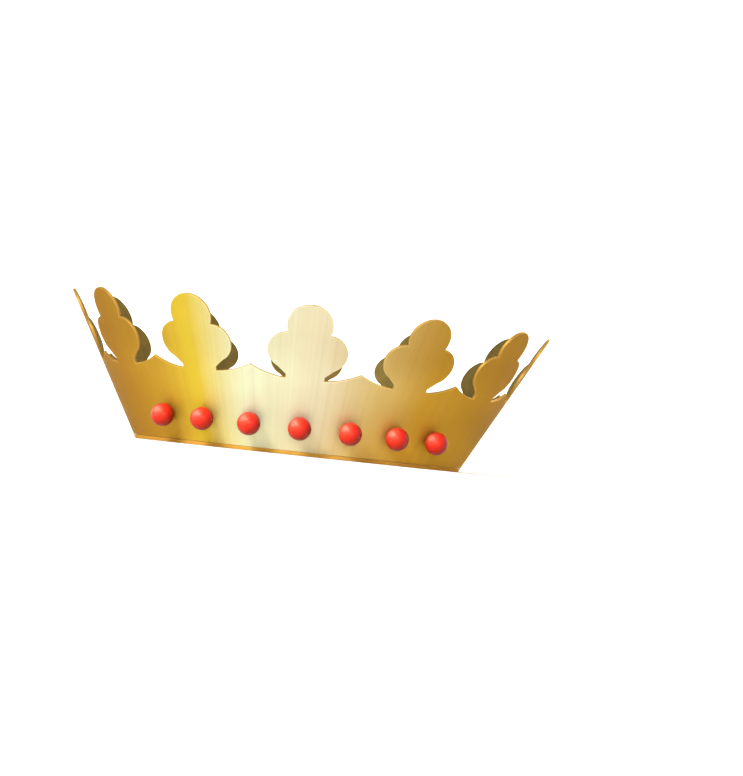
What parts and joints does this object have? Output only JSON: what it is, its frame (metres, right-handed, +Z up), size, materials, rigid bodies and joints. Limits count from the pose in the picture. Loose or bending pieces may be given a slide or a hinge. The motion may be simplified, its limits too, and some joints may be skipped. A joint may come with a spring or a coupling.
{
  "type": "jewelled crown",
  "caption": "Open flared metal crown with three-lobed fleurons and small crests on its upper edge, a flat base ring and a row of round red stones across the front.",
  "frame": {"origin": "centre of the base ring's underside, on the crown's axis", "axes": "+Z up along the crown's axis, -Y towards the front, where the row of stones is"},
  "size_m": [0.3242, 0.3242, 0.0962],
  "materials": {
    "gold_wall": "gilt, satin outside and dull inside",
    "gold_ring": "gilt, satin",
    "red_stone": "opaque red, satin",
    "gold_post": "gilt, satin"
  },
  "bodies": {
    "root": {"crown_wall": "gold_wall", "base_ring": "gold_ring", "stone_1": "red_stone", "stone_2": "red_stone", "stone_3": "red_stone", "stone_4": "red_stone", "stone_5": "red_stone", "stone_6": "red_stone", "stone_7": "red_stone", "stone_post_1": "gold_post", "stone_post_2": "gold_post", "stone_post_3": "gold_post", "stone_post_4": "gold_post", "stone_post_5": "gold_post", "stone_post_6": "gold_post", "stone_post_7": "gold_post"}
  },
  "joints": []
}
